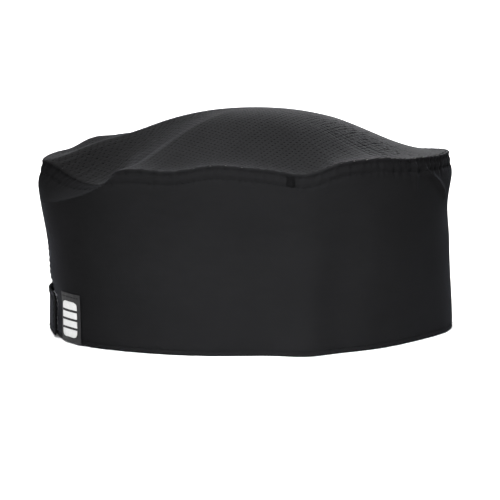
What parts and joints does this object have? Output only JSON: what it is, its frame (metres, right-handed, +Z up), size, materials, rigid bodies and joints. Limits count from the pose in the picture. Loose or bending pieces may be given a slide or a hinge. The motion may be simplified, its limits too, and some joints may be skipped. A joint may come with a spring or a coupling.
{
  "type": "chef cap",
  "caption": "Low brimless chef's cap with a tall flat twill band, a low domed mesh crown and a hook-and-loop strap across a slit at the back.",
  "frame": {"origin": "the middle of the head opening, in the plane of the hem that the cap stands on", "axes": "+Z up to the crown, -Y towards the wearer's front, +X towards the wearer's left; the closure is at the back, +Y"},
  "size_m": [0.1607, 0.2111, 0.113],
  "materials": {
    "twill_black": "matte",
    "mesh_black": "matte",
    "interlining": "matte",
    "thread_black": "satin",
    "hook_tape": "satin",
    "loop_tape": "matte",
    "label_black": "matte",
    "label_white": "matte",
    "care_label_white": "satin"
  },
  "bodies": {
    "cap": {"band_outer": "twill_black", "band_facing": "twill_black", "band_interlining": "interlining", "crown_mesh": "mesh_black", "crown_topstitching": "thread_black", "topstitch_bartack": "thread_black", "facing_stitching": "thread_black", "hem_stitching": "thread_black", "slit_stitching": "thread_black", "slit_bartack": "thread_black", "strap_bartack": "thread_black", "loop_tape": "loop_tape", "loop_tape_stitching": "thread_black", "woven_tag": "label_black", "tag_emblem": "label_white", "tag_stitching": "thread_black", "care_label_stitching": "thread_black"},
    "strap": {"closure_strap": "twill_black", "strap_interlining": "interlining", "strap_stitching": "thread_black", "hook_tape": "hook_tape", "hook_tape_stitching": "thread_black"},
    "care_label": {"care_label": "care_label_white"}
  },
  "joints": [
    {"name": "strap_peel", "type": "hinge", "parent": "cap", "child": "strap", "pos_m": [0.04698, 0.08616, 0.012], "axis": [0, 0, -1], "range_deg": [0, 120]},
    {"name": "care_label_flap", "type": "hinge", "parent": "cap", "child": "care_label", "pos_m": [0.0767, 0, 0.072], "axis": [0, 1, 0], "range_deg": [0, 80]}
  ]
}
